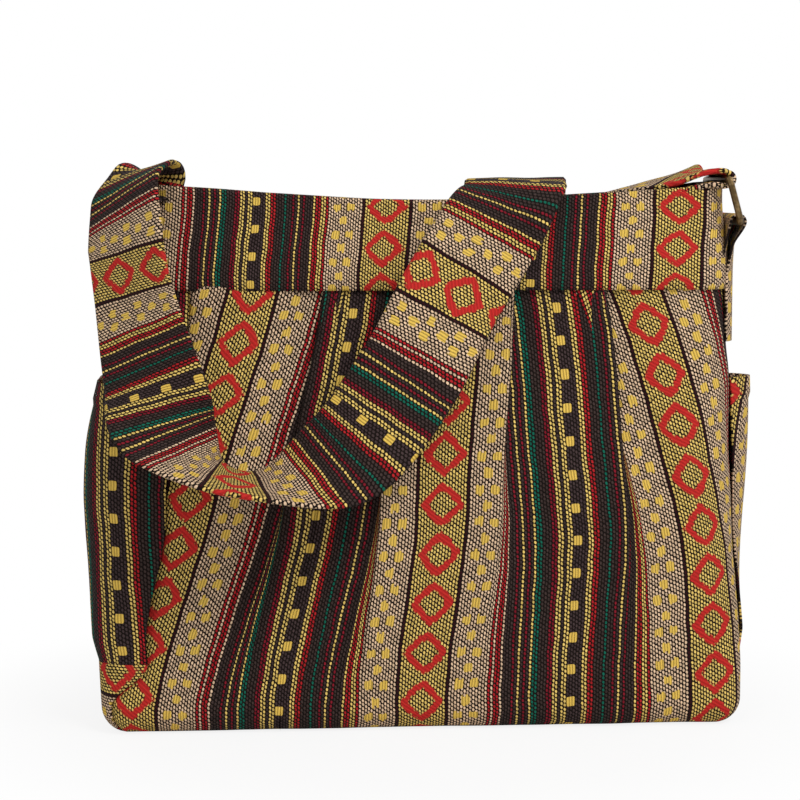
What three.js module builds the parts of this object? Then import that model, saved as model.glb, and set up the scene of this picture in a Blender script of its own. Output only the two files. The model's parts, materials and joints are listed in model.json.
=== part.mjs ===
// A striped woven cotton shoulder bag: a boxy body with a pleated front and back, a doubled top band,
// a base strip that turns up at both ends, a pocket on each side, a lining, and a wide cloth strap
// that starts at the left side and ends on a brass ring held by a cloth tab at the right side.
// Millimetres, +Z up, +X to the right and -Y to the front, origin on the floor under the middle.
import * as THREE from 'three';
import { mergeVertices } from 'three/addons/utils/BufferGeometryUtils.js';

// Body sizes, outside of the cloth
const BASE_HALF_WIDTH = 190;
const BELLY_HALF_WIDTH = 186;
const SEAM_HALF_WIDTH = 174;
const RIM_HALF_WIDTH = 167;
const BASE_HALF_DEPTH = 57;
const BELLY_HALF_DEPTH = 60;
const SEAM_HALF_DEPTH = 37;
const RIM_HALF_DEPTH = 26;
const BELLY_CORNER = 36;
const SEAM_CORNER = 22;
const RIM_CORNER = 18;
const BOTTOM_ROUND = 16;
const BELLY_HEIGHT = 130;
const SEAM_HEIGHT = 258;
const RIM_HEIGHT = 311;
const RIM_SAG = 4;
const SEAM_LEAN = 9;
const RIM_LEAN = 13;
const TURN_UP_HEIGHT = 42;
const POCKET_HEIGHT = 202;
const LEFT_POCKET_SLACK = 17;
const RIGHT_POCKET_SLACK = 10;
const LINING_HEIGHT = 272;

// Cloth and clearances
const CLOTH = 2;
const DOUBLED_CLOTH = 3;
const LINING_CLOTH = 0.8;
const CLEARANCE = 0.3;

// How far the left seams are set in from the side, measured along the wall
const LEFT_SEAM_AT_TURN_UP = 24;
const LEFT_SEAM_AT_BELLY = 51;
const LEFT_SEAM_AT_TOP = 44;

// Ring, tab and strap
const WIRE_RADIUS = 2;
const RING_SIDE_PLAY = 3;
const RING_PITCH = 26;
const RING_BEND = 3;
const RING_LEAN = 0.27;
const RING_BAR_BELOW_RIM = 17;
const TAB_WIDTH = 56;
const TAB_LOWER_EDGE = 224;
const STRAP_WIDTH = 60;

// The ring takes the wider of the strap and the tab, and its lower bar keeps its place under the rim
const RING_INNER_LENGTH = Math.max(STRAP_WIDTH, TAB_WIDTH) + 2 * RING_SIDE_PLAY;
const RING_BAR_HEIGHT = RIM_HEIGHT - RING_BAR_BELOW_RIM;

// Facet counts
const PANEL_COLUMNS = 26;
const SIDE_COLUMNS = 14;
const BASE_COLUMNS = 12;
const BAND_COLUMNS = 36;
const BAND_ROWS = 4;
const BEND_STEPS = 5;
const TURN_UP_STEPS = 3;
const WALL_STEPS = 8;
const POCKET_STEPS = 9;
const RING_STEPS = 48;
const RING_SIDES = 8;
const TAB_CURVE_STEPS = 16;
const STRAP_STEPS_PER_STOP = 4;
const STRAP_ROWS = 2;

const COLOURS = {
  weave: 0x6b4a33,
  band: 0x5d3f2e,
  pocket: 0x4a3228,
  lining: 0x2a211c,
  strap: 0x75502f,
  brass: 0x6e5a37,
};

// Eased value at a height from a list of [height, value] stations
function atHeight(z, stations) {
  const last = stations.length - 1;
  if (z <= stations[0][0]) return stations[0][1];
  if (z >= stations[last][0]) return stations[last][1];
  const i = stations.findIndex(([height]) => height >= z);
  const [z0, value0] = stations[i - 1];
  const [z1, value1] = stations[i];
  return THREE.MathUtils.lerp(value0, value1, THREE.MathUtils.smoothstep(z, z0, z1));
}

const halfWidth = (z) => atHeight(z, [
  [TURN_UP_HEIGHT, BASE_HALF_WIDTH],
  [BELLY_HEIGHT, BELLY_HALF_WIDTH],
  [SEAM_HEIGHT, SEAM_HALF_WIDTH],
  [RIM_HEIGHT, RIM_HALF_WIDTH],
]);

const halfDepth = (z) => atHeight(z, [
  [BOTTOM_ROUND, BASE_HALF_DEPTH],
  [BELLY_HEIGHT, BELLY_HALF_DEPTH],
  [SEAM_HEIGHT, SEAM_HALF_DEPTH],
  [RIM_HEIGHT, RIM_HALF_DEPTH],
]);

const cornerRadius = (z) => atHeight(z, [
  [BOTTOM_ROUND, BOTTOM_ROUND],
  [BELLY_HEIGHT, BELLY_CORNER],
  [SEAM_HEIGHT, SEAM_CORNER],
  [RIM_HEIGHT, RIM_CORNER],
]);

// The empty bag leans to the right above its belly
const lean = (z) => atHeight(z, [
  [BELLY_HEIGHT, 0],
  [SEAM_HEIGHT, SEAM_LEAN],
  [RIM_HEIGHT, RIM_LEAN],
]);

const leftSeamInset = (z) => atHeight(z, [
  [BOTTOM_ROUND, 0],
  [TURN_UP_HEIGHT, LEFT_SEAM_AT_TURN_UP],
  [BELLY_HEIGHT, LEFT_SEAM_AT_BELLY],
  [SEAM_HEIGHT, LEFT_SEAM_AT_TOP],
]);

// Heights along the wall are measured round the bottom edge, which is a quarter circle
const BOTTOM_ARC = BOTTOM_ROUND * Math.PI / 2;
const EDGE_START = 0.6;
const wallHeight = (z) => z - BOTTOM_ROUND + BOTTOM_ARC;
const levelOf = (h) => Math.max(BOTTOM_ROUND, h - BOTTOM_ARC + BOTTOM_ROUND);

// Lengths along the rounded-rectangle section, from the middle of the front
function sectionLengths(z) {
  const radius = cornerRadius(z);
  const front = halfWidth(z) - radius;
  const quarter = radius * Math.PI / 2;
  const side = halfDepth(z) - radius;
  return { radius, front, quarter, side, toSide: front + quarter + side };
}

// Point of the section at arc length s from the middle of the front, inset by depth
function sectionPoint(s, z, inset) {
  const { radius, front, quarter, side, toSide } = sectionLengths(z);
  const sign = Math.sign(s) || 1;
  const behind = Math.abs(s) > toSide;
  const length = behind ? 2 * toSide - Math.abs(s) : Math.abs(s);
  const arc = radius - inset;
  let x = length;
  let y = -side - arc;
  if (length > front + quarter) {
    x = front + arc;
    y = length - toSide;
  } else if (length > front) {
    const turn = (length - front) / radius;
    x = front + arc * Math.sin(turn);
    y = -side - arc * Math.cos(turn);
  }
  return new THREE.Vector2(lean(z) + sign * x, behind ? -y : y);
}

// Point of the bag's wall at length s round it, height h along it, and depth below its outside
function wallPoint(s, h, depth) {
  const turn = Math.min(h / BOTTOM_ROUND, Math.PI / 2);
  const arc = BOTTOM_ROUND - depth;
  const inset = BOTTOM_ROUND - arc * Math.sin(turn);
  const lift = BOTTOM_ROUND - arc * Math.cos(turn);
  const z = levelOf(h);
  const flat = sectionPoint(s, z, inset);
  return new THREE.Vector3(flat.x, flat.y, h < BOTTOM_ARC ? lift : z);
}

function closedGeometry(geometry) {
  geometry.deleteAttribute('normal');
  geometry.deleteAttribute('uv');
  const merged = mergeVertices(geometry);
  merged.computeVertexNormals();
  return merged;
}

// A flat blank of cloth bent to shape: place(u, v, layer) gives each point, with layer 0 outside
function bentBlank(columns, rows, place) {
  const geometry = new THREE.BoxGeometry(1, 1, 1, columns, rows, 1);
  const position = geometry.attributes.position;
  for (let i = 0; i < position.count; i += 1) {
    const u = position.getX(i) + 0.5;
    const v = position.getY(i) + 0.5;
    const layer = 0.5 - position.getZ(i);
    position.setXYZ(i, ...place(u, v, layer).toArray());
  }
  return closedGeometry(geometry);
}

const bag = new THREE.Group();

function addMesh(name, geometry, colour, roughness = 0.9, metalness = 0) {
  const material = new THREE.MeshStandardMaterial({ color: colour, roughness, metalness });
  const mesh = new THREE.Mesh(geometry, material);
  mesh.name = name;
  bag.add(mesh);
  return mesh;
}

// Seam positions along the section: the left seams are set in on the face, the right ones on the side
function frontSeams(z) {
  const { front, quarter } = sectionLengths(z);
  const edge = front + quarter;
  return { left: leftSeamInset(z) - edge + CLEARANCE / 2, right: edge - CLEARANCE / 2 };
}

// Heights shared by the edges that are sewn together, so that neighbours have the same facets
const PANEL_TOP = wallHeight(SEAM_HEIGHT) - CLEARANCE;
const TURN_UP_TOP = wallHeight(TURN_UP_HEIGHT);
const steps = (from, to, count) => {
  const pitch = (to - from) / count;
  return Array.from({ length: count }, (_, i) => from + pitch * (i + 1));
};
const END_LEVELS = [
  EDGE_START,
  ...steps(EDGE_START, BOTTOM_ARC, BEND_STEPS),
  ...steps(BOTTOM_ARC, TURN_UP_TOP, TURN_UP_STEPS),
];
const SIDE_LEVELS = [TURN_UP_TOP + CLEARANCE, ...steps(TURN_UP_TOP, PANEL_TOP, WALL_STEPS)];
const PANEL_LEVELS = [...END_LEVELS, ...SIDE_LEVELS];
const pick = (levels, share) => levels[Math.round(share * (levels.length - 1))];

// Front and back body panels, from the bottom edge up to the top band
function bodyPanel(facing) {
  return bentBlank(PANEL_COLUMNS, PANEL_LEVELS.length - 1, (u, v, layer) => {
    const h = pick(PANEL_LEVELS, v);
    const { left, right } = frontSeams(levelOf(h));
    const point = wallPoint(THREE.MathUtils.lerp(left, right, facing > 0 ? u : 1 - u), h, layer * CLOTH);
    point.y *= facing;
    return point;
  });
}

addMesh('front_body_panel', bodyPanel(1), COLOURS.weave);
addMesh('back_body_panel', bodyPanel(-1), COLOURS.weave);

// Half length of a side wall from its middle to the seams
function sideReach(z, side) {
  const inset = side < 0 ? leftSeamInset(z) : 0;
  return sectionLengths(z).side + inset - CLEARANCE / 2;
}

// Point of a side wall: across runs -1 to 1 from the front seam to the back seam
function sidePoint(side, across, h, depth) {
  const z = levelOf(h);
  return wallPoint(side * (sectionLengths(z).toSide + across * sideReach(z, side)), h, depth);
}

// Base strip: the floor and both ends turned up to the pockets
const FLOOR_HALF_LENGTH = BASE_HALF_WIDTH - BOTTOM_ROUND;
const FLOOR_HALF_WIDTH = BASE_HALF_DEPTH - BOTTOM_ROUND - CLEARANCE / 2;
const END_STOPS = END_LEVELS.map((h) => FLOOR_HALF_LENGTH + h);
const STRIP_STOPS = [
  ...END_STOPS.map((stop) => -stop).reverse(),
  -FLOOR_HALF_LENGTH,
  ...steps(-FLOOR_HALF_LENGTH, FLOOR_HALF_LENGTH, BASE_COLUMNS),
  ...END_STOPS,
];

addMesh('base_strip', bentBlank(STRIP_STOPS.length - 1, BASE_COLUMNS, (u, v, layer) => {
  const along = pick(STRIP_STOPS, u);
  const across = 2 * v - 1;
  const h = Math.abs(along) - FLOOR_HALF_LENGTH;
  const depth = (1 - layer) * CLOTH;
  if (h <= 0) return new THREE.Vector3(along, across * FLOOR_HALF_WIDTH, depth);
  return sidePoint(Math.sign(along), across, h, depth);
}), COLOURS.pocket);

// Side gussets from the base strip to the top band, and the pockets over them
function sideBlank(side, levels, depthAt) {
  return bentBlank(SIDE_COLUMNS, levels.length - 1, (u, v, layer) => {
    const across = side < 0 ? 1 - 2 * u : 2 * u - 1;
    return sidePoint(side, across, pick(levels, v), depthAt(u, v, layer));
  });
}

const pocketGape = (u, v) => Math.sin(Math.PI * u) * Math.sin(v * Math.PI / 2);
const pocketDepth = (slack) => (u, v, layer) => {
  return (layer - 1) * CLOTH - 2 * CLEARANCE - slack * pocketGape(u, v);
};
const gussetDepth = (u, v, layer) => layer * CLOTH;
const POCKET_LEVELS = [SIDE_LEVELS[0], ...steps(SIDE_LEVELS[0], wallHeight(POCKET_HEIGHT), POCKET_STEPS)];

for (const [word, side, slack] of [['left', -1, LEFT_POCKET_SLACK], ['right', 1, RIGHT_POCKET_SLACK]]) {
  addMesh(`${word}_gusset`, sideBlank(side, SIDE_LEVELS, gussetDepth), COLOURS.weave);
  addMesh(`${word}_side_pocket`, sideBlank(side, POCKET_LEVELS, pocketDepth(slack)), COLOURS.pocket);
}

// Top bands: doubled cloth, front and back halves meeting at the middle of each side
const rimAt = (share) => wallHeight(RIM_HEIGHT - RIM_SAG * Math.cos(share * Math.PI / 2) ** 2);

function topBand(facing) {
  return bentBlank(BAND_COLUMNS, BAND_ROWS, (u, v, layer) => {
    const share = facing > 0 ? 2 * u - 1 : 1 - 2 * u;
    const h = THREE.MathUtils.lerp(wallHeight(SEAM_HEIGHT), rimAt(share), v);
    const reach = sectionLengths(levelOf(h)).toSide - CLEARANCE / 2;
    const point = wallPoint(share * reach, h, layer * DOUBLED_CLOTH);
    point.y *= facing;
    return point;
  });
}

addMesh('front_top_band', topBand(1), COLOURS.band);
addMesh('back_top_band', topBand(-1), COLOURS.band);

// Lining: a thin cloth cup inside the bands, turned as a cup and then pressed to the bag's section
const LINING_TOP_DEPTH = DOUBLED_CLOTH + 3 * CLEARANCE;
const LINING_SLACK = 1.8;
const LINING_TURNS = 36;
const LINING_FLOOR_RINGS = 3;

function liningStations() {
  const rings = Array.from({ length: LINING_FLOOR_RINGS }, (_, i) => i / LINING_FLOOR_RINGS);
  const loose = LINING_TOP_DEPTH + LINING_SLACK;
  const floor = rings.map((spread) => ({ spread, h: EDGE_START, depth: loose }));
  const wall = PANEL_LEVELS.map((h) => ({ spread: 1, h, depth: loose }));
  const hem = { spread: 1, h: wallHeight(LINING_HEIGHT), depth: LINING_TOP_DEPTH };
  const outside = [...floor, ...wall, hem];
  const inside = outside.map((station) => ({ ...station, depth: station.depth + LINING_CLOTH })).reverse();
  return [...outside, ...inside];
}

function liningCup() {
  const stations = liningStations();
  const profile = stations.map((station, i) => new THREE.Vector2(station.spread, i));
  const geometry = new THREE.LatheGeometry(profile, LINING_TURNS);
  const position = geometry.attributes.position;
  for (let i = 0; i < position.count; i += 1) {
    const { spread, h, depth } = stations[i % stations.length];
    const turn = Math.floor(i / stations.length) % LINING_TURNS;
    const around = (2 * turn / LINING_TURNS - 1) * 2 * sectionLengths(levelOf(h)).toSide;
    const point = wallPoint(around, h, depth);
    position.setXYZ(i, point.x * spread, point.y * spread, point.z);
  }
  return closedGeometry(geometry);
}

addMesh('lining', liningCup(), COLOURS.lining);

// Strap ring: round wire bent to a rectangle, its lower bar in the tab and its upper bar in the strap
const TAB_EYE = WIRE_RADIUS + CLEARANCE;
const TAB_WALL_X = lean(TAB_LOWER_EDGE) + halfWidth(TAB_LOWER_EDGE);
const RING_BAR_X = TAB_WALL_X + CLEARANCE + CLOTH + TAB_EYE;
const RING_HALF_LENGTH = RING_INNER_LENGTH / 2 + WIRE_RADIUS;

const RING_PATH_POINTS = 72;

function roundedRectangle(halfLength, pitch, bend) {
  const corners = [[-halfLength, 0], [halfLength, 0], [halfLength, pitch], [-halfLength, pitch]];
  const path = new THREE.Path();
  corners.forEach(([x, y], i) => {
    const centre = new THREE.Vector2(x - Math.sign(x) * bend, y === 0 ? bend : pitch - bend);
    const start = [Math.PI, -Math.PI / 2, 0, Math.PI / 2][i];
    path.absarc(centre.x, centre.y, bend, start, start + Math.PI / 2, false);
  });
  path.closePath();
  return path.getSpacedPoints(RING_PATH_POINTS).slice(0, -1).map((p) => new THREE.Vector3(0, p.x, p.y));
}

const ringPath = roundedRectangle(RING_HALF_LENGTH, RING_PITCH, RING_BEND);
const ringCurve = new THREE.CatmullRomCurve3(ringPath, true);
const ringWire = new THREE.TubeGeometry(ringCurve, RING_STEPS, WIRE_RADIUS, RING_SIDES, true);
const ringMesh = addMesh('strap_ring', closedGeometry(ringWire), COLOURS.brass, 0.35, 1);
ringMesh.position.set(RING_BAR_X, 0, RING_BAR_HEIGHT);
ringMesh.rotation.y = -RING_LEAN;

// Ring tab: cloth doubled round the lower bar and sewn flat to the right side
function ringTab() {
  const outer = TAB_EYE + CLOTH;
  const sewnFace = 2 * CLOTH - outer;
  const bottom = TAB_LOWER_EDGE - RING_BAR_HEIGHT;
  const shape = new THREE.Shape();
  shape.moveTo(-outer, bottom);
  shape.lineTo(sewnFace, bottom);
  shape.lineTo(sewnFace, -2 * outer);
  shape.lineTo(outer, 0);
  shape.absarc(0, 0, outer, 0, Math.PI, false);
  shape.closePath();
  const eye = new THREE.Path();
  eye.absarc(0, 0, TAB_EYE, 0, 2 * Math.PI, true);
  shape.holes.push(eye);
  const geometry = new THREE.ExtrudeGeometry(shape, {
    depth: TAB_WIDTH,
    bevelEnabled: false,
    curveSegments: TAB_CURVE_STEPS,
  });
  geometry.rotateX(Math.PI / 2);
  geometry.translate(RING_BAR_X, TAB_WIDTH / 2, RING_BAR_HEIGHT);
  return closedGeometry(geometry);
}

addMesh('ring_tab', ringTab(), COLOURS.strap);

// Strap: a wide doubled ribbon of cloth. Each stop is a point of its middle line and the direction
// of its outer edge, chosen to follow the way it lies.
const RING_TOP = new THREE.Vector3(
  RING_BAR_X - RING_PITCH * Math.sin(RING_LEAN), 0, RING_BAR_HEIGHT + RING_PITCH * Math.cos(RING_LEAN));
const LOOP_RADIUS = WIRE_RADIUS + CLEARANCE + DOUBLED_CLOTH / 2;
const STRAP_STOPS = [
  { at: [-168.5, 0, 262], edge: [0, 1, 0] },
  { at: [-160, 0, 290], edge: [0, 1, 0] },
  { at: [-157, -1, 313], edge: [0, 1, 0] },
  { at: [-161, -8, 322], edge: [-0.3, 0.95, 0] },
  { at: [-168, -24, 313], edge: [-0.55, 0.83, 0] },
  { at: [-167, -44, 287], edge: [-0.72, 0.69, 0] },
  { at: [-161, -61, 248], edge: [-0.8, 0.6, 0] },
  { at: [-150, -76, 210], edge: [-0.88, 0.45, -0.15] },
  { at: [-135, -93, 178], edge: [-0.75, -0.4, -0.5] },
  { at: [-112, -101, 165], edge: [-0.2, -0.9, -0.38] },
  { at: [-84, -97, 162], edge: [0.35, -0.78, -0.5] },
  { at: [-49, -84, 175], edge: [0.66, -0.4, -0.62] },
  { at: [-18, -72, 213], edge: [0.78, -0.1, -0.6] },
  { at: [9, -58, 256], edge: [0.82, 0, -0.55] },
  { at: [36, -43, 293], edge: [0.82, -0.15, -0.48] },
  { at: [53, -26, 314], edge: [0.85, -0.45, -0.17] },
  { at: [60, 0, 317.5], edge: [0.9, -0.43, 0] },
  { at: [64, 28, 315.5], edge: [0.98, -0.15, 0] },
  { at: [66, 46, 290], edge: [1, 0, 0] },
  { at: [69, 59, 245], edge: [1, 0, 0] },
  { at: [75, 70, 195], edge: [1, 0, 0] },
  { at: [84, 82, 166], edge: [1, 0, 0] },
  { at: [95, 96, 192], edge: [1, 0, 0] },
  { at: [117, 80, 286], edge: [1, 0.05, 0] },
  { at: [121, 64, 311], edge: [0.98, 0.15, 0] },
  { at: [129, 37, 321], edge: [0.85, 0.5, 0] },
  { at: [142, 16, 323], edge: [0.5, 0.86, 0] },
  { at: [163, 5, 324], edge: [0.05, 1, 0] },
];

// The strap's end goes over the ring's upper bar and back under itself
const LOOP_LEAD = 8;
const LOOP_RISE = 2;
const LOOP_LIFT = 0.5;
const TAIL_LENGTH = 38;
const TAIL_SWAY = 5;
const TAIL_RISE = 3;

function strapEnd() {
  const { x, z } = RING_TOP;
  const turns = [0, 0.25, 0.5, 0.75, 1].map((share) => {
    const angle = Math.PI / 2 - share * Math.PI;
    return [x + LOOP_RADIUS * Math.cos(angle), 0, z + LOOP_RADIUS * Math.sin(angle)];
  });
  const over = [x - LOOP_LEAD, 0, z + LOOP_RADIUS + LOOP_RISE];
  const under = [x - LOOP_LEAD, 0, z - LOOP_RADIUS + LOOP_LIFT];
  const tail = [x - TAIL_LENGTH, TAIL_SWAY, z + TAIL_RISE];
  return [over, ...turns, under, tail].map((at) => ({ at, edge: [0, 1, 0] }));
}

function strapRibbon() {
  const stops = [...STRAP_STOPS, ...strapEnd()];
  const middlePoints = stops.map(({ at }) => new THREE.Vector3(...at));
  const edgeVectors = stops.map(({ edge }) => new THREE.Vector3(...edge));
  const middle = new THREE.CatmullRomCurve3(middlePoints, false, 'centripetal');
  const edges = new THREE.CatmullRomCurve3(edgeVectors, false, 'centripetal');
  return bentBlank(STRAP_STEPS_PER_STOP * (stops.length - 1), STRAP_ROWS, (u, v, layer) => {
    const tangent = middle.getTangent(u);
    const edge = edges.getPoint(u).projectOnPlane(tangent).normalize();
    const normal = new THREE.Vector3().crossVectors(edge, tangent);
    return middle.getPoint(u)
      .addScaledVector(edge, (0.5 - v) * STRAP_WIDTH)
      .addScaledVector(normal, (0.5 - layer) * DOUBLED_CLOTH);
  });
}

addMesh('shoulder_strap', strapRibbon(), COLOURS.strap);

export default bag;
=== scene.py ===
import json
import math
import bmesh
import bpy
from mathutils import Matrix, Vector, noise


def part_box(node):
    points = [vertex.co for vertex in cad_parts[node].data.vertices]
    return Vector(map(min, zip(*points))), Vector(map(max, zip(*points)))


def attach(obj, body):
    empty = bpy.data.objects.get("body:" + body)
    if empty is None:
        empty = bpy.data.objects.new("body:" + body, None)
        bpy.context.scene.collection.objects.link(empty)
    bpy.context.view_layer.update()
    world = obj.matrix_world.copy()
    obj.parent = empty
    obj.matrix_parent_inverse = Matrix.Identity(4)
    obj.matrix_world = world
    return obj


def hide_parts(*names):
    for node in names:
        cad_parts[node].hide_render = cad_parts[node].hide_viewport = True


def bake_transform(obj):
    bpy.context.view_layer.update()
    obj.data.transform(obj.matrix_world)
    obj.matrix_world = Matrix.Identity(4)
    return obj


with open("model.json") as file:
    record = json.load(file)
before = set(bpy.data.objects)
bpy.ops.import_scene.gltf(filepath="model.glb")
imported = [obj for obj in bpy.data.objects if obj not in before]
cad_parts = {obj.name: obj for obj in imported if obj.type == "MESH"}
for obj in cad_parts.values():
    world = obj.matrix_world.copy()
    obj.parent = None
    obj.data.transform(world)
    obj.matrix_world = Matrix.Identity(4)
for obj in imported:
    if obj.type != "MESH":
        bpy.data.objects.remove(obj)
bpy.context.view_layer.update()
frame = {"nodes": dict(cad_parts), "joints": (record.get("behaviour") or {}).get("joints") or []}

# Studio: a pale floor that fades to white, a soft key light from above right, a weak fill from the
# left and a camera at the height of the rim, standing a little to the left of the bag.
FLOOR_SIZE = 6.0
FLOOR_COLOUR = (0.9, 0.9, 0.9, 1)
SHADOW_REACH = (0.16, 0.34)
SHADOW_GLOW = 0.86
AMBIENT = 0.46
LIGHT_AIM = Vector((0, 0, 0.15))
SOFTBOXES = (("key", (0.8, -1.4, 1.8), 0.9, 27), ("fill", (-1.2, -1.7, 1.2), 1.2, 3))
LENS = 100
CAMERA_DISTANCE = 1.325
CAMERA_AZIMUTH = math.radians(-4)
CAMERA_ELEVATION = math.radians(5.5)
CAMERA_AIM = Vector((-0.0085, 0, 0.1880))

floor_mesh = bmesh.new()
bmesh.ops.create_grid(floor_mesh, x_segments=8, y_segments=8, size=FLOOR_SIZE / 2)
floor_data = bpy.data.meshes.new("floor")
floor_mesh.to_mesh(floor_data)
floor_mesh.free()
floor = bpy.data.objects.new("floor", floor_data)
bpy.context.collection.objects.link(floor)

floor_paint = bpy.data.materials.new("pale_floor")
floor_paint.use_nodes = True
nodes, links = floor_paint.node_tree.nodes, floor_paint.node_tree.links
nodes["Principled BSDF"].inputs["Base Color"].default_value = FLOOR_COLOUR
nodes["Principled BSDF"].inputs["Roughness"].default_value = 0.9
place = nodes.new("ShaderNodeTexCoord")
reach = nodes.new("ShaderNodeVectorMath")
reach.operation = "LENGTH"
fade = nodes.new("ShaderNodeMapRange")
fade.interpolation_type = "SMOOTHSTEP"
fade.inputs["From Min"].default_value = SHADOW_REACH[0]
fade.inputs["From Max"].default_value = SHADOW_REACH[1]
fade.inputs["To Min"].default_value = SHADOW_GLOW
seen = nodes.new("ShaderNodeLightPath")
both = nodes.new("ShaderNodeMath")
both.operation = "MULTIPLY"
glow = nodes.new("ShaderNodeEmission")
blend = nodes.new("ShaderNodeMixShader")
links.new(place.outputs["Object"], reach.inputs[0])
links.new(reach.outputs["Value"], fade.inputs["Value"])
links.new(fade.outputs["Result"], both.inputs[0])
links.new(seen.outputs["Is Camera Ray"], both.inputs[1])
links.new(both.outputs["Value"], blend.inputs[0])
links.new(nodes["Principled BSDF"].outputs["BSDF"], blend.inputs[1])
links.new(glow.outputs["Emission"], blend.inputs[2])
links.new(blend.outputs["Shader"], nodes["Material Output"].inputs["Surface"])
floor_data.materials.append(floor_paint)

world = bpy.data.worlds.new("studio_white")
world.use_nodes = True
bpy.context.scene.world = world
nodes, links = world.node_tree.nodes, world.node_tree.links
ambient = nodes["Background"]
ambient.inputs["Color"].default_value = (1, 1, 1, 1)
ambient.inputs["Strength"].default_value = AMBIENT
white = nodes.new("ShaderNodeBackground")
white.inputs["Color"].default_value = (1, 1, 1, 1)
seen = nodes.new("ShaderNodeLightPath")
shown = nodes.new("ShaderNodeMath")
shown.operation = "MAXIMUM"
choose = nodes.new("ShaderNodeMixShader")
links.new(seen.outputs["Is Camera Ray"], shown.inputs[0])
links.new(seen.outputs["Is Glossy Ray"], shown.inputs[1])
links.new(shown.outputs["Value"], choose.inputs[0])
links.new(ambient.outputs["Background"], choose.inputs[1])
links.new(white.outputs["Background"], choose.inputs[2])
links.new(choose.outputs["Shader"], nodes["World Output"].inputs["Surface"])

for name, at, size, power in SOFTBOXES:
    lamp = bpy.data.lights.new(name, "AREA")
    lamp.shape = "DISK"
    lamp.size = size
    lamp.energy = power
    softbox = bpy.data.objects.new(name, lamp)
    softbox.location = at
    softbox.rotation_euler = (LIGHT_AIM - Vector(at)).to_track_quat("-Z", "Y").to_euler()
    bpy.context.collection.objects.link(softbox)

camera = bpy.data.objects.new("camera", bpy.data.cameras.new("camera"))
camera.data.lens = LENS
flat_way = math.cos(CAMERA_ELEVATION) * CAMERA_DISTANCE
camera.location = CAMERA_AIM + Vector((
    flat_way * math.sin(CAMERA_AZIMUTH),
    -flat_way * math.cos(CAMERA_AZIMUTH),
    math.sin(CAMERA_ELEVATION) * CAMERA_DISTANCE,
))
camera.rotation_euler = (CAMERA_AIM - camera.location).to_track_quat("-Z", "Y").to_euler()
bpy.context.collection.objects.link(camera)
bpy.context.scene.camera = camera
bpy.context.scene.view_settings.view_transform = "Standard"

# Base strip: one length of the striped cotton that lies across the floor of the bag and turns up at
# both ends, with its stripes across it. It is cut first, and every other panel is sewn to it.
TURN_UP_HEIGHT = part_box("left_gusset")[0].z
SEAM_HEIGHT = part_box("front_top_band")[0].z
RIM_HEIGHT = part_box("front_top_band")[1].z
BASE_HALF_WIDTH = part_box("base_strip")[1].x
BASE_HALF_DEPTH = 0.057
BOTTOM_ROUND = 0.016
BELLY_HEIGHT = 0.130
CLOTH = 0.0013
# The wall's half widths, half depths, corner radii and lean, each by height
WIDTHS = (
    (TURN_UP_HEIGHT, BASE_HALF_WIDTH), (BELLY_HEIGHT, 0.186), (SEAM_HEIGHT, 0.174), (RIM_HEIGHT, 0.167))
DEPTHS = (
    (BOTTOM_ROUND, BASE_HALF_DEPTH), (BELLY_HEIGHT, 0.060), (SEAM_HEIGHT, 0.037), (RIM_HEIGHT, 0.026))
CORNERS = (
    (BOTTOM_ROUND, BOTTOM_ROUND), (BELLY_HEIGHT, 0.036), (SEAM_HEIGHT, 0.022), (RIM_HEIGHT, 0.018))
LEANS = ((BELLY_HEIGHT, 0), (SEAM_HEIGHT, 0.009), (RIM_HEIGHT, 0.013))
LEFT_SEAM_INSETS = (
    (BOTTOM_ROUND, 0.014), (TURN_UP_HEIGHT, 0.040), (BELLY_HEIGHT, 0.060), (SEAM_HEIGHT, 0.046))
BOTTOM_ARC = BOTTOM_ROUND * math.pi / 2
LEFT_SAG = 0.032
LEFT_SAG_TOP = 0.2
FLOOR_HALF_LENGTH = BASE_HALF_WIDTH - BOTTOM_ROUND
FLOOR_HALF_WIDTH = BASE_HALF_DEPTH - BOTTOM_ROUND
STRIP_PATTERN_SHIFT = 0.221

# The cloth's repeat, as warp columns of one colour from the left edge of a band of diamonds
COLUMN = 0.00172
ROW = 0.00125
REPEAT_COLUMNS = 100
DIAMOND_HALF_BAND = 8
STRIPES = (
    (16, "yellow"), (1, "wine"), (13, "beige"), (1, "red"), (1, "beige"), (2, "red"), (1, "beige"),
    (3, "dark"), (1, "crimson"), (1, "dark"), (1, "yellow"), (1, "dark"), (1, "crimson"), (1, "dark"),
    (1, "yellow"), (2, "green"), (3, "dark"), (2, "crimson"), (2, "yellow"), (1, "dark"), (2, "yellow"),
    (5, "plum"), (2, "yellow"), (2, "red"), (3, "dark"), (1, "green"), (2, "dark"), (1, "crimson"),
    (1, "dark"), (1, "yellow"), (1, "dark"), (1, "crimson"), (3, "dark"), (1, "yellow"), (2, "red"),
    (2, "yellow"), (1, "red"), (13, "beige"), (1, "wine"),
)
YARNS = {
    "yellow": (0.82, 0.58, 0.16, 1),
    "beige": (0.78, 0.55, 0.36, 1),
    "red": (0.44, 0.018, 0.022, 1),
    "crimson": (0.23, 0.012, 0.024, 1),
    "wine": (0.035, 0.007, 0.009, 1),
    "green": (0.008, 0.13, 0.085, 1),
    "dark": (0.055, 0.036, 0.032, 1),
    "plum": (0.062, 0.040, 0.040, 1),
}
WEFT = (0.010, 0.006, 0.005, 1)
DIAMOND_RED = (0.55, 0.027, 0.023, 1)
GOLD = (0.80, 0.53, 0.10, 1)

# The weave's unevenness, and its floats in shares of a column and of a pair of rows
WANDER_SCALE = 55
WANDER = 0.0022
FLOAT_LEAN = 0.55
FLOAT_HALF_WIDTH = 0.41
FLOAT_HALF_LENGTH = 0.42
FLOAT_EDGE = (1.15, 0.55)
FLOAT_SLIP = 0.14
YARN_SHADE = (0.42, 0.74)

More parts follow.
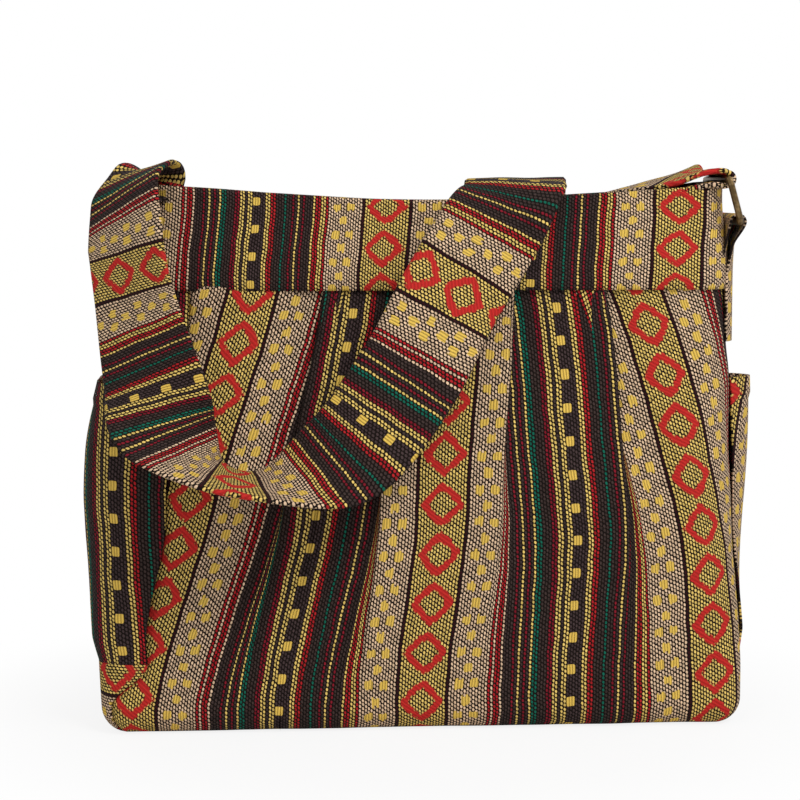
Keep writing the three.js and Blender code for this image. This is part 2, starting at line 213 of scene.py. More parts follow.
# The diamonds' outline and the raised dots and dashes, across in columns and along in metres
RAMP_SPLIT = 54
DIAMOND_PITCH = 0.0289
DIAMOND_START = 0.0282
DIAMOND_HALF_WIDTH = 7.2
DIAMOND_HALF_LENGTH = 0.0130
DIAMOND_BULGE = 1.2
DIAMOND_RAGGED = 0.16
DIAMOND_INNER_EDGE = (0.50, 0.60)
DIAMOND_OUTER_EDGE = (1.05, 0.93)
RED_SHADE = (0.16, 0.90)
THREAD_TURN = 3.3
THREADS_PER_COLUMN = 1.05
DOT_COLUMNS = (22.9, 92.0)
DOT_SPREAD = 2.6
DOT_PITCH = 0.019
DOT_HALF_WIDTH = 1.45
DOT_HALF_LENGTH = 0.0029
DOT_SQUARENESS = 5
DOT_EDGE = (1.25, 0.75)
DOT_RAGGED = (0.0020, -0.0008)
DASH_COLUMN = 58.5
DASH_START = 0.004
DASH_HALF_LENGTH = 0.0028
GOLD_SHADE = (0.62, 0.46)


def at_height(z, stations):
    for (z0, value0), (z1, value1) in zip(stations, stations[1:]):
        if z < z1:
            share = max((z - z0) / (z1 - z0), 0)
            return value0 + (value1 - value0) * share * share * (3 - 2 * share)
    return stations[-1][1]


def wall_height(z):
    return z - BOTTOM_ROUND + BOTTOM_ARC


def level_of(h):
    return max(BOTTOM_ROUND, h - BOTTOM_ARC + BOTTOM_ROUND)


def section(z):
    radius = at_height(z, CORNERS)
    front = at_height(z, WIDTHS) - radius
    side = at_height(z, DEPTHS) - radius
    return radius, front, side, front + radius * math.pi / 2 + side


def wall_point(s, h, proud=0):
    """Point of the bag's wall at length s round it from the middle of the front, and height h along it."""
    z = level_of(h)
    radius, front, side, to_side = section(z)
    turn = min(h / BOTTOM_ROUND, math.pi / 2)
    bend = BOTTOM_ROUND + proud
    inset = BOTTOM_ROUND - bend * math.sin(turn)
    length = abs(s)
    behind = length > to_side
    if behind:
        length = 2 * to_side - length
    arc = radius - inset
    x, y = length, -side - arc
    if length > front + radius * math.pi / 2:
        x, y = front + arc, length - to_side
    elif length > front:
        angle = (length - front) / radius
        x, y = front + arc * math.sin(angle), -side - arc * math.cos(angle)
    if s < 0:
        low = 1 - min(z / LEFT_SAG_TOP, 1)
        x *= 1 - LEFT_SAG * low * low
    height = BOTTOM_ROUND - bend * math.cos(turn) if h < BOTTOM_ARC else z
    return Vector((at_height(z, LEANS) + math.copysign(x, s), -y if behind else y, height))


def side_reach(z, side):
    inset = at_height(z, LEFT_SEAM_INSETS) if side < 0 else 0
    radius, front, half_side, to_side = section(z)
    return half_side + inset


def add_math(tree, operation, first, second=0.0, third=None):
    node = tree.nodes.new("ShaderNodeMath")
    node.operation = operation
    for socket, value in zip(node.inputs, (first, second, third)):
        if isinstance(value, (int, float)):
            socket.default_value = value
        elif value is not None:
            tree.links.new(value, socket)
    return node.outputs[0]


def add_step(tree, value, low, high):
    """Smooth step from 0 at low to 1 at high, or the other way round where low is the larger."""
    node = tree.nodes.new("ShaderNodeMapRange")
    node.interpolation_type = "SMOOTHSTEP"
    node.inputs["From Min"].default_value = min(low, high)
    node.inputs["From Max"].default_value = max(low, high)
    node.inputs["To Min"].default_value = 0 if low < high else 1
    node.inputs["To Max"].default_value = 1 if low < high else 0
    tree.links.new(value, node.inputs["Value"])
    return node.outputs["Result"]


def add_mix(tree, mask, first, second, how="MIX"):
    node = tree.nodes.new("ShaderNodeMix")
    node.data_type = "RGBA"
    node.blend_type = how
    for socket, value in ((node.inputs[0], mask), (node.inputs[6], first), (node.inputs[7], second)):
        if isinstance(value, bpy.types.NodeSocket):
            tree.links.new(value, socket)
        else:
            socket.default_value = value
    return node.outputs[2]


def add_stripe_ramp(tree, column, first, last):
    """Constant colour ramp for the stripes from column first to column last of the repeat."""
    node = tree.nodes.new("ShaderNodeValToRGB")
    ramp = node.color_ramp
    ramp.interpolation = "CONSTANT"
    ramp.elements.remove(ramp.elements[1])
    start = 0
    for width, yarn in STRIPES:
        if first <= start < last:
            if start > first:
                ramp.elements.new((start - first) / (last - first))
            ramp.elements[len(ramp.elements) - 1].color = YARNS[yarn]
        start += width
    share = add_math(tree, "DIVIDE", add_math(tree, "SUBTRACT", column, first), last - first)
    tree.links.new(share, node.inputs["Fac"])
    return node.outputs["Color"]


def add_grey(tree, value):
    node = tree.nodes.new("ShaderNodeCombineColor")
    for socket in node.inputs:
        tree.links.new(value, socket)
    return node.outputs[0]


def add_box_mask(tree, across, half_width, along, half_length):
    """1 inside a rounded rectangle given by two distances from its middle."""
    x = add_math(tree, "POWER", add_math(tree, "DIVIDE", across, half_width), DOT_SQUARENESS)
    y = add_math(tree, "POWER", add_math(tree, "DIVIDE", along, half_length), DOT_SQUARENESS)
    return add_step(tree, add_math(tree, "ADD", x, y), *DOT_EDGE)


def add_distance(tree, value, place):
    return add_math(tree, "ABSOLUTE", add_math(tree, "SUBTRACT", value, place))


def distance_to_rows(tree, v, pitch, start):
    turns = add_math(tree, "FRACT", add_math(tree, "MULTIPLY_ADD", v, 1 / pitch, 0.5 - start / pitch))
    return add_math(tree, "MULTIPLY", add_distance(tree, turns, 0.5), pitch)


def striped_weave():
    """The cloth as loomed: coloured warp floats on a dark weft, diamonds, dots and dashes."""
    tree = bpy.data.node_groups.new("striped_weave", "ShaderNodeTree")
    tree.interface.new_socket("Cloth", in_out="INPUT", socket_type="NodeSocketVector")
    tree.interface.new_socket("Colour", in_out="OUTPUT", socket_type="NodeSocketColor")
    tree.interface.new_socket("Height", in_out="OUTPUT", socket_type="NodeSocketFloat")
    cloth = tree.nodes.new("NodeGroupInput").outputs["Cloth"]
    uneven = tree.nodes.new("ShaderNodeTexNoise")
    uneven.inputs["Scale"].default_value = WANDER_SCALE
    uneven.inputs["Detail"].default_value = 3
    tree.links.new(cloth, uneven.inputs["Vector"])
    wander = tree.nodes.new("ShaderNodeVectorMath")
    wander.operation = "MULTIPLY_ADD"
    wander.inputs[1].default_value = (WANDER, WANDER, 0)
    tree.links.new(uneven.outputs["Color"], wander.inputs[0])
    tree.links.new(cloth, wander.inputs[2])
    parts = tree.nodes.new("ShaderNodeSeparateXYZ")
    tree.links.new(wander.outputs[0], parts.inputs[0])
    u, v = parts.outputs[0], parts.outputs[1]

    column = add_math(tree, "MULTIPLY_ADD", u, 1 / COLUMN, DIAMOND_HALF_BAND)
    row = add_math(tree, "DIVIDE", v, ROW)
    whole_column = add_math(tree, "FLOOR", column)
    in_column = add_math(tree, "SUBTRACT", add_math(tree, "FRACT", column), 0.5)
    stagger = add_math(tree, "FLOORED_MODULO", whole_column, 2)
    leaning = add_math(tree, "MULTIPLY_ADD", in_column, FLOAT_LEAN, add_math(tree, "ADD", row, stagger))
    pair = add_math(tree, "MULTIPLY", leaning, 0.5)
    cell = tree.nodes.new("ShaderNodeCombineXYZ")
    tree.links.new(whole_column, cell.inputs[0])
    tree.links.new(add_math(tree, "FLOOR", pair), cell.inputs[1])
    grain = tree.nodes.new("ShaderNodeTexWhiteNoise")
    grain.noise_dimensions = "2D"
    tree.links.new(cell.outputs[0], grain.inputs["Vector"])
    slip = add_math(tree, "MULTIPLY_ADD", grain.outputs["Value"], FLOAT_SLIP, -0.5 - FLOAT_SLIP / 2)
    in_float = add_math(tree, "ADD", add_math(tree, "FRACT", pair), slip)
    oval_width = add_math(tree, "POWER", add_math(tree, "DIVIDE", in_column, FLOAT_HALF_WIDTH), 2)
    oval_length = add_math(tree, "POWER", add_math(tree, "DIVIDE", in_float, FLOAT_HALF_LENGTH), 2)
    float_mask = add_step(tree, add_math(tree, "ADD", oval_width, oval_length), *FLOAT_EDGE)

    in_repeat = add_math(tree, "FLOORED_MODULO", add_math(tree, "ADD", whole_column, 0.5), REPEAT_COLUMNS)
    low_stripes = add_stripe_ramp(tree, in_repeat, 0, RAMP_SPLIT)
    high_stripes = add_stripe_ramp(tree, in_repeat, RAMP_SPLIT, REPEAT_COLUMNS)
    stripes = add_mix(tree, add_math(tree, "GREATER_THAN", in_repeat, RAMP_SPLIT), low_stripes, high_stripes)

    shade = add_math(tree, "MULTIPLY_ADD", grain.outputs["Value"], *YARN_SHADE)
    floats = add_mix(tree, 1.0, stripes, add_grey(tree, shade), "MULTIPLY")
    colour = add_mix(tree, float_mask, WEFT, floats)

    smooth_column = add_math(tree, "FLOORED_MODULO", column, REPEAT_COLUMNS)
    from_diamond = add_distance(tree, smooth_column, DIAMOND_HALF_BAND)
    up_diamond = distance_to_rows(tree, v, DIAMOND_PITCH, DIAMOND_START)
    width_share = add_math(tree, "DIVIDE", from_diamond, DIAMOND_HALF_WIDTH)
    length_share = add_math(tree, "DIVIDE", up_diamond, DIAMOND_HALF_LENGTH)
    ring = add_math(tree, "ADD", add_math(tree, "POWER", width_share, DIAMOND_BULGE),
                    add_math(tree, "POWER", length_share, DIAMOND_BULGE))
    trimmed = add_math(tree, "SUBTRACT", ring, DIAMOND_RAGGED / 2)
    ragged = add_math(tree, "MULTIPLY_ADD", grain.outputs["Value"], DIAMOND_RAGGED, trimmed)
    outline = add_math(tree, "MULTIPLY", add_step(tree, ragged, *DIAMOND_INNER_EDGE),
                       add_step(tree, ragged, *DIAMOND_OUTER_EDGE))
    diagonal = add_math(tree, "MULTIPLY", add_math(tree, "ADD", column, row), THREAD_TURN)
    red_shade = add_math(tree, "MULTIPLY_ADD", add_math(tree, "SINE", diagonal), *RED_SHADE)
    diamond_yarn = add_mix(tree, 1.0, DIAMOND_RED, add_grey(tree, red_shade), "MULTIPLY")
    colour = add_mix(tree, outline, colour, diamond_yarn)

    first_dots, second_dots = (add_distance(tree, smooth_column, middle) for middle in DOT_COLUMNS)
    from_dots = add_math(tree, "MINIMUM", first_dots, second_dots)
    from_pair = add_distance(tree, from_dots, DOT_SPREAD)
    thread = tree.nodes.new("ShaderNodeTexWhiteNoise")
    thread.noise_dimensions = "2D"
    thread_cell = tree.nodes.new("ShaderNodeCombineXYZ")
    thread_number = add_math(tree, "FLOOR", add_math(tree, "MULTIPLY", column, THREADS_PER_COLUMN))
    dot_number = add_math(tree, "FLOOR", add_math(tree, "DIVIDE", v, DOT_PITCH / 2))
    tree.links.new(thread_number, thread_cell.inputs[0])
    tree.links.new(dot_number, thread_cell.inputs[1])
    tree.links.new(thread_cell.outputs[0], thread.inputs["Vector"])
    uneven_end = add_math(tree, "MULTIPLY_ADD", thread.outputs["Value"], *DOT_RAGGED)
    pair_row = distance_to_rows(tree, v, DOT_PITCH, 0)
    single_row = distance_to_rows(tree, v, DOT_PITCH, DOT_PITCH / 2)
    pair_row = add_math(tree, "MAXIMUM", add_math(tree, "ADD", pair_row, uneven_end), 0)
    single_row = add_math(tree, "MAXIMUM", add_math(tree, "ADD", single_row, uneven_end), 0)
    pairs = add_box_mask(tree, from_pair, DOT_HALF_WIDTH, pair_row, DOT_HALF_LENGTH)
    singles = add_box_mask(tree, from_dots, DOT_HALF_WIDTH, single_row, DOT_HALF_LENGTH)
    from_dash = add_distance(tree, smooth_column, DASH_COLUMN)
    dash_row = distance_to_rows(tree, v, DOT_PITCH, DASH_START)
    dashes = add_box_mask(tree, from_dash, DOT_HALF_WIDTH, dash_row, DASH_HALF_LENGTH)
    gold_mask = add_math(tree, "MAXIMUM", add_math(tree, "MAXIMUM", pairs, singles), dashes)
    thread_wave = add_math(tree, "SINE", add_math(tree, "MULTIPLY", column, THREAD_TURN))
    gold_shade = add_math(tree, "MULTIPLY_ADD", add_math(tree, "ABSOLUTE", thread_wave), *GOLD_SHADE)
    gold_yarn = add_mix(tree, 1.0, GOLD, add_grey(tree, gold_shade), "MULTIPLY")
    colour = add_mix(tree, gold_mask, colour, gold_yarn)

    raised = add_math(tree, "MAXIMUM", add_math(tree, "MULTIPLY", outline, red_shade),
                      add_math(tree, "MULTIPLY", gold_mask, gold_shade))
    height = add_math(tree, "MAXIMUM", add_math(tree, "MULTIPLY", float_mask, shade), raised)
    ends = tree.nodes.new("NodeGroupOutput")
    tree.links.new(colour, ends.inputs["Colour"])
    tree.links.new(height, ends.inputs["Height"])
    return tree


def woven_cotton():
    material = bpy.data.materials.new("woven_cotton")
    material.use_nodes = True
    tree = material.node_tree
    shader = tree.nodes["Principled BSDF"]
    shader.inputs["Roughness"].default_value = 0.88
    shader.inputs["Specular IOR Level"].default_value = 0.07
    shader.inputs["Sheen Weight"].default_value = 0.02
    place = tree.nodes.new("ShaderNodeUVMap")
    place.uv_map = "cloth"
    weave = tree.nodes.new("ShaderNodeGroup")
    weave.node_tree = striped_weave()
    bump = tree.nodes.new("ShaderNodeBump")
    bump.inputs["Strength"].default_value = 0.7
    bump.inputs["Distance"].default_value = 0.0009
    tree.links.new(place.outputs[0], weave.inputs["Cloth"])
    tree.links.new(weave.outputs["Colour"], shader.inputs["Base Color"])
    tree.links.new(weave.outputs["Height"], bump.inputs["Height"])
    tree.links.new(bump.outputs["Normal"], shader.inputs["Normal"])
    return material


woven = woven_cotton()


def lay_cloth(name, columns, rows, place, material, thickness=CLOTH):
    """A blank of cloth: place(u, v) gives each point's position and its place on the cloth, in metres."""
    mesh = bmesh.new()
    bmesh.ops.create_grid(mesh, x_segments=columns, y_segments=rows, size=0.5)
    cloth_map = mesh.loops.layers.uv.new("cloth")
    on_cloth = {}
    for vertex in mesh.verts:
        vertex.co, on_cloth[vertex.index] = place(vertex.co.x + 0.5, vertex.co.y + 0.5)
    for face in mesh.faces:
        face.smooth = True
        for corner in face.loops:
            corner[cloth_map].uv = on_cloth[corner.vert.index]
    data = bpy.data.meshes.new(name)
    mesh.to_mesh(data)
    mesh.free()
    data.materials.append(material)
    piece = bpy.data.objects.new(name, data)
    bpy.context.collection.objects.link(piece)
    shell = piece.modifiers.new("cloth", "SOLIDIFY")
    shell.thickness = thickness
    shell.offset = -1
    shell.use_quality_normals = True
    seen_mesh = piece.evaluated_get(bpy.context.evaluated_depsgraph_get())
    piece.data = bpy.data.meshes.new_from_object(seen_mesh)
    piece.modifiers.clear()
    spots = on_cloth.values()
    width = max(spot[0] for spot in spots) - min(spot[0] for spot in spots)
    length = max(spot[1] for spot in spots) - min(spot[1] for spot in spots)
    return piece, (width, length), cut_area(data)


def cut_area(data):
    """Area of the flat cut, from the cloth map."""
    spots = data.uv_layers["cloth"].data
    area = 0
    for face in data.polygons:
        corners = [spots[i].uv for i in face.loop_indices]
        area += abs(sum(a.cross(b) for a, b in zip(corners, corners[1:] + corners[:1]))) / 2
    return area


def sew_in(piece, node):
    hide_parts(node)
    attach(piece, "bag")


def ripple(spot, size, height):
    """Slight unevenness of soft cloth at a place on the bag."""
    return height * noise.noise(Vector(spot) / size)


def base_strip_point(u, v):
    half_length = FLOOR_HALF_LENGTH + wall_height(TURN_UP_HEIGHT)
    along = (2 * u - 1) * half_length
    across = 1 - 2 * v
    h = abs(along) - FLOOR_HALF_LENGTH
    on_cloth = (along + STRIP_PATTERN_SHIFT, across * FLOOR_HALF_WIDTH)
    if h <= 0:
        return Vector((along, across * FLOOR_HALF_WIDTH, 0)), on_cloth
    z = level_of(h)
    side = math.copysign(1, along)
    s = side * (section(z)[3] + across * side_reach(z, side))
    return wall_point(s, h), (along + STRIP_PATTERN_SHIFT, across * side_reach(z, side))


strip, strip_cut, strip_area = lay_cloth("base_strip_cloth", 220, 48, base_strip_point, woven)
sew_in(strip, "base_strip")

# Body panels: wide lengths of the striped cotton, gathered at the top into knife pleats and cut
# narrower at the left, sewn along the bottom edge to the base strip and at the sides to the gussets.
SEAM_ALLOWANCE = 0.006
PANEL_TOP = wall_height(SEAM_HEIGHT) + SEAM_ALLOWANCE
PANEL_FOOT = 0.0008
MIDDLE_DIAMOND = 0.172
PANEL_PATTERN_SHIFT = 0.0052
PLEATS = ((0.072, 0.0140, -1), (0.140, 0.0140, -1), (0.2105, 0.015, 1), (0.293, 0.019, 1))
PLEAT_LAYER = 0.0014
PLEAT_RAMP = 0.020
PLEAT_RIDGE = 0.0034
PLEAT_COLUMNS = 8
PLAIN_COLUMNS = 24
SEAM_TUCK = 0.0016
SEAM_TUCK_REACH = 0.0035
MIDDLE_DRIFT = ((0.015, -0.004), (0.140, 0.0078), (SEAM_HEIGHT, 0.008))
ROW_DROP_LEFT = 0.0052
ROW_DROP_RIGHT = 0.0141
PLEAT_FOOT = 0.015
PLEAT_GATHER = {1: 1.5, -1: 1.05}
PLEAT_SHUT = 0.35
PLEAT_TURN = 0.003
LIP_SHARE = 0.55
TUCK_SHARE = 0.5
HOLLOW_SHARE = 0.4
RIPPLE_FADE = 0.05
BROAD_RIPPLE = (0.055, 0.0022)
FINE_RIPPLE = (0.02, 0.0005)


def pleat_share(z, facing):
    """How far a pleat is closed at a height, from 0 at the bottom to 1 under the top band."""
    rise = min(max((z - PLEAT_FOOT) / (SEAM_HEIGHT - PLEAT_FOOT), 0), 1)
    return rise ** PLEAT_GATHER[facing]


def panel_edges(z):
    radius, front, side, to_side = section(z)
    edge = front + radius * math.pi / 2
    return at_height(z, LEFT_SEAM_INSETS) - edge, edge


def pleated_length(c, z):
    """Length round the wall for a place c across the cloth, and how far its layer stands out there."""
    s = at_height(z, MIDDLE_DRIFT) + c - MIDDLE_DIAMOND
    out = 0
    for lip, depth, facing in PLEATS:
        share = pleat_share(z, facing)
        closed = min(share / PLEAT_SHUT, 1)
        back = (c - lip) * facing
        lost = 2 * share * min(max(back, 0), depth)
        s -= facing * lost
        if back <= 0:
            top = max(1 + back / PLEAT_RAMP, 0)
            ridge = PLEAT_RIDGE * math.sin(math.pi * share) * top * top
            out += closed * (LIP_SHARE * PLEAT_LAYER * top) + ridge
        elif back <= depth:
            turn = min(back / PLEAT_TURN, 1)
            out -= closed * PLEAT_LAYER * (TUCK_SHARE * turn - LIP_SHARE * (1 - turn))
        else:
            low = max(1 - max(back - 2 * depth, 0) / PLEAT_RAMP, 0)
            turn = min((back - depth) / PLEAT_TURN, 1)
            out -= closed * PLEAT_LAYER * (TUCK_SHARE + turn) * low
            out -= HOLLOW_SHARE * PLEAT_RIDGE * math.sin(math.pi * share) * low * low
    return s, out


def panel_stops(z):
    """Places across the cloth that bound the plain and pleated stretches at a height."""
    left, right = panel_edges(z)
    hidden_left = sum(2 * d * pleat_share(z, f) for lip, d, f in PLEATS if f < 0)
    hidden_right = sum(2 * d * pleat_share(z, f) for lip, d, f in PLEATS if f > 0)
    drift = at_height(z, MIDDLE_DRIFT) - MIDDLE_DIAMOND
    stops = [(left - drift - hidden_left, 0)]
    for lip, depth, facing in PLEATS:
        ends = [-PLEAT_RAMP, 0, PLEAT_TURN, depth, depth + PLEAT_TURN, 2 * depth, 2 * depth + PLEAT_RAMP]
        places = sorted(lip + facing * end for end in ends)
        stops.append((places[0], PLAIN_COLUMNS))
        stops.extend((place, PLEAT_COLUMNS) for place in places[1:])
    stops.append((right - drift + hidden_right, 2 * PLAIN_COLUMNS))
    return stops


PANEL_COLUMNS = sum(count for place, count in panel_stops(SEAM_HEIGHT))
PANEL_ROWS = 120


def panel_point(u, v, facing):
    h = PANEL_FOOT + v * (PANEL_TOP - PANEL_FOOT)
    z = level_of(h)
    stops = panel_stops(z)
    column = (u if facing > 0 else 1 - u) * PANEL_COLUMNS
    c = stops[-1][0]
    for (place0, _), (place1, count) in zip(stops, stops[1:]):
        if column <= count:
            c = place0 + (place1 - place0) * column / count
            break
        column -= count
    s, out = pleated_length(c, z)
    left, right = panel_edges(z)
    for edge in (left, right):
        out -= SEAM_TUCK * math.exp(-((s - edge) / SEAM_TUCK_REACH) ** 2)
    soft = min(z / RIPPLE_FADE, 1)
    for layer, (size, height) in ((3, BROAD_RIPPLE), (9, FINE_RIPPLE)):
        out += ripple((s, h, layer * facing), size, height * soft)
    point = wall_point(s, h, out)
    away = (c - MIDDLE_DIAMOND) / MIDDLE_DIAMOND
    drop = (ROW_DROP_RIGHT if away > 0 else ROW_DROP_LEFT) * away * away
    if facing > 0:
        return point, (c - PANEL_PATTERN_SHIFT, h - drop)
    return Vector((point.x, -point.y, point.z)), (2 * MIDDLE_DIAMOND - c, h - drop)


for word, facing, slot in (("front", 1, "front_cloth"), ("back", -1, "body_cloth")):
    panel, panel_cut, panel_area = lay_cloth(
        f"{word}_panel_cloth", PANEL_COLUMNS, PANEL_ROWS, lambda u, v: panel_point(u, v, facing), woven)
    sew_in(panel, f"{word}_body_panel")

# Gussets and side pockets: the gussets close the sides between the panels, and an open-topped patch
# with a turned hem lies over each of them, caught at its sides and in the seam of the base strip.
GUSSET_PATTERN_SHIFT = {-1: 0.218, 1: -0.172}
POCKET_PATTERN_SHIFT = {-1: 0.260, 1: -0.191}
POCKET_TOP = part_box("left_side_pocket")[1].z
POCKET_GAP = 0.0026
POCKET_SLACK = {-1: 0.010, 1: 0.0145}
POCKET_HEM = 0.013
POCKET_HEM_RISE = 0.0012
POCKET_HEM_STEP = 0.002
POCKET_HEM_ENDS = 6
POCKET_SEWN_SHARE = 0.08
POCKET_RIPPLE = (0.035, 0.0016)


def gusset_point(u, v, side):
    h = wall_height(TURN_UP_HEIGHT) + v * (PANEL_TOP - wall_height(TURN_UP_HEIGHT))
    z = level_of(h)
    reach = side_reach(z, side)
    s = side * section(z)[3] + (2 * u - 1) * reach
    tuck = SEAM_TUCK * math.exp(-((1 - abs(2 * u - 1)) * reach / SEAM_TUCK_REACH) ** 2)
    return wall_point(s, h, -tuck), (s + GUSSET_PATTERN_SHIFT[side], h)


def pocket_point(u, v, side):
    bottom = wall_height(TURN_UP_HEIGHT)
    h = bottom + v * (wall_height(POCKET_TOP) - bottom)
    z = level_of(h)
    s = side * section(z)[3] + (2 * u - 1) * side_reach(z, side)
    gape = math.sin(math.pi * u) * math.sin(v * math.pi / 2)
    from_top = wall_height(POCKET_TOP) - h
    in_hem = min(max((POCKET_HEM - from_top) / POCKET_HEM_STEP, 0), 1)
    hem = POCKET_HEM_RISE * in_hem * min(math.sin(math.pi * u) * POCKET_HEM_ENDS, 1)
    size, height = POCKET_RIPPLE
    out = POCKET_GAP * min(v / POCKET_SEWN_SHARE, 1) + POCKET_SLACK[side] * gape + hem
    out += ripple((s, h, side), size, height * gape)
    return wall_point(s, h, out), (s + POCKET_PATTERN_SHIFT[side], h)


for word, side in (("left", -1), ("right", 1)):
    gusset, gusset_cut, gusset_area = lay_cloth(
        f"{word}_gusset_cloth", 60, 60, lambda u, v: gusset_point(u, v, side), woven)
    sew_in(gusset, f"{word}_gusset")
    pocket, pocket_cut, pocket_area = lay_cloth(
        f"{word}_pocket_cloth", 70, 80, lambda u, v: pocket_point(u, v, side), woven)
    sew_in(pocket, f"{word}_side_pocket")

# Top bands: doubled cotton with its stripes upright, folded over at the rim and down the inside as a
# facing. The front and back halves are sewn over the pleats and to each other at the sides.
BAND_PATTERN_SHIFT = 0.0305
BAND_ROW_SHIFT = 0.0018
BAND_TIGHTNESS = 1.2
BAND_LEFT_EASE = 0.14
BAND_STANDS_PROUD = 0.0022
BAND_OVERLAP = 0.003
BAND_LOWER_EDGE = wall_height(SEAM_HEIGHT) - BAND_OVERLAP
BAND_WALL = 0.0030
RIM_SAG = 0.0055
RIM_LIFT = {-1: 0.0045, 1: 0.004}
FACING_DEPTH = 0.040
BAND_CLOTH = 0.0011
BAND_EASED_FROM = -0.03
BAND_EDGE_TURN = 0.004
BAND_EDGE_TUCK = 0.0012
BAND_RIPPLE = (0.05, 0.0012)


def band_point(u, v, facing):
    """v runs up the outside, over the rim and down the facing inside."""
    share = 2 * u - 1 if facing > 0 else 1 - 2 * u
    rim = wall_height(RIM_HEIGHT) - RIM_SAG * math.cos(share * math.pi / 2) ** 2
    rim += RIM_LIFT[1 if share > 0 else -1] * share * share
    rise = rim - BAND_LOWER_EDGE
    fold = math.pi * BAND_WALL / 2
    run = v * (rise + fold + FACING_DEPTH)
    if run < rise:
        h, out = BAND_LOWER_EDGE + run, 0
    elif run < rise + fold:
        angle = (run - rise) / fold * math.pi
        h, out = rim + BAND_WALL / 2 * math.sin(angle), -BAND_WALL / 2 * (1 - math.cos(angle))
    else:
        h, out = rim - (run - rise - fold), -BAND_WALL
    z = level_of(h)
    s = share * section(z)[3]
    turned_edge = math.exp(-(run / BAND_EDGE_TURN) ** 2)
    out += BAND_STANDS_PROUD - BAND_EDGE_TUCK * turned_edge * turned_edge
    out += ripple((s, h, 5 * facing), *BAND_RIPPLE) if run < rise else 0
    point = wall_point(s, h, out)
    eased = s + BAND_LEFT_EASE * min(s - BAND_EASED_FROM, 0)
    on_cloth = (eased + BAND_PATTERN_SHIFT, run * BAND_TIGHTNESS - BAND_ROW_SHIFT)
    if facing > 0:
        return point, on_cloth
    return Vector((point.x, -point.y, point.z)), (BAND_PATTERN_SHIFT - s, on_cloth[1])


for word, facing in (("front", 1), ("back", -1)):
    band, band_cut, band_area = lay_cloth(
        f"{word}_band_cloth", 260, 60, lambda u, v: band_point(u, v, facing), woven, BAND_CLOTH)
    sew_in(band, f"{word}_top_band")

# Lining: a bag of plain dark cotton hung inside the shell and sewn under the facing of the bands,
# a little loose along the walls and lying on the base strip.
LINING_TOP = wall_height(0.272)
LINING_FOOT = 0.0016
LINING_DEPTH = 0.0054
LINING_CLOTH = 0.0007
LINING_FLOOR_SHARE = 0.22
LINING_RIPPLE = (0.05, 0.0008)
LINING_COLOUR = (0.035, 0.026, 0.022, 1)
LINING_SHADE = (0.024, 0.018, 0.016, 1)


def lining_point(u, v):
    spread = min(v / LINING_FLOOR_SHARE, 1)
    up = max((v - LINING_FLOOR_SHARE) / (1 - LINING_FLOOR_SHARE), 0)
    h = LINING_FOOT + up * (LINING_TOP - LINING_FOOT)
    z = level_of(h)
    s = (2 * u - 1) * 2 * section(z)[3]
    around = math.tau * u
    edge = wall_point(s, h, ripple((math.cos(around), math.sin(around), h), *LINING_RIPPLE) - LINING_DEPTH)
    on_cloth = ((2 * u - 1) * 2 * section(BELLY_HEIGHT)[3], FLOOR_HALF_WIDTH * spread + h)
    return Vector((edge.x * spread, edge.y * spread, edge.z)), on_cloth


lining_cloth = bpy.data.materials.new("lining_cotton")
lining_cloth.use_nodes = True
tree = lining_cloth.node_tree
shader = tree.nodes["Principled BSDF"]
shader.inputs["Roughness"].default_value = 0.9
place = tree.nodes.new("ShaderNodeTexCoord")
weave = tree.nodes.new("ShaderNodeTexNoise")
weave.inputs["Scale"].default_value = 900
tree.links.new(place.outputs["Object"], weave.inputs["Vector"])
tone = add_mix(tree, weave.outputs["Fac"], LINING_SHADE, LINING_COLOUR)
tree.links.new(tone, shader.inputs["Base Color"])
bump = tree.nodes.new("ShaderNodeBump")
bump.inputs["Strength"].default_value = 0.3
bump.inputs["Distance"].default_value = 0.0005
tree.links.new(weave.outputs["Fac"], bump.inputs["Height"])
tree.links.new(bump.outputs["Normal"], shader.inputs["Normal"])
lining, lining_cut, lining_area = lay_cloth("lining_cloth", 160, 60, lining_point, lining_cloth, LINING_CLOTH)
sew_in(lining, "lining")

# Ring and tab: antique-brass wire bent to a rectangle, its lower bar held in a tab of the striped
# cotton that is doubled round it and sewn flat to the right side over the gusset.
BRASS = (0.11, 0.072, 0.032, 1)
BRASS_WORN = (0.26, 0.175, 0.08, 1)
HINGE = Vector(frame["joints"][0]["pos_m"])
TAB_HALF_WIDTH = 0.028
TAB_EYE = 0.0025
TAB_FLAT = 0.010
TAB_CURL = 0.050
TAB_LOWER_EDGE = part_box("ring_tab")[0].z
TAB_PATTERN_SHIFT = 0.163
TAB_PINCH = 0.014
TAB_LAYERS_APART = 2.2 * CLOTH
TAB_CURL_REACH = 0.03

brass = bpy.data.materials.new("antique_brass")
brass.use_nodes = True
tree = brass.node_tree
shader = tree.nodes["Principled BSDF"]
shader.inputs["Metallic"].default_value = 1.0
shader.inputs["Roughness"].default_value = 0.38
place = tree.nodes.new("ShaderNodeTexCoord")
tarnish = tree.nodes.new("ShaderNodeTexNoise")
tarnish.inputs["Scale"].default_value = 320
tarnish.inputs["Detail"].default_value = 4
tree.links.new(place.outputs["Object"], tarnish.inputs["Vector"])
tone = add_mix(tree, add_step(tree, tarnish.outputs["Fac"], 0.42, 0.68), BRASS, BRASS_WORN)
tree.links.new(tone, shader.inputs["Base Color"])
ring = frame["nodes"]["strap_ring"]
ring.data.materials.clear()
ring.data.materials.append(brass)
for face in ring.data.polygons:
    face.use_smooth = True


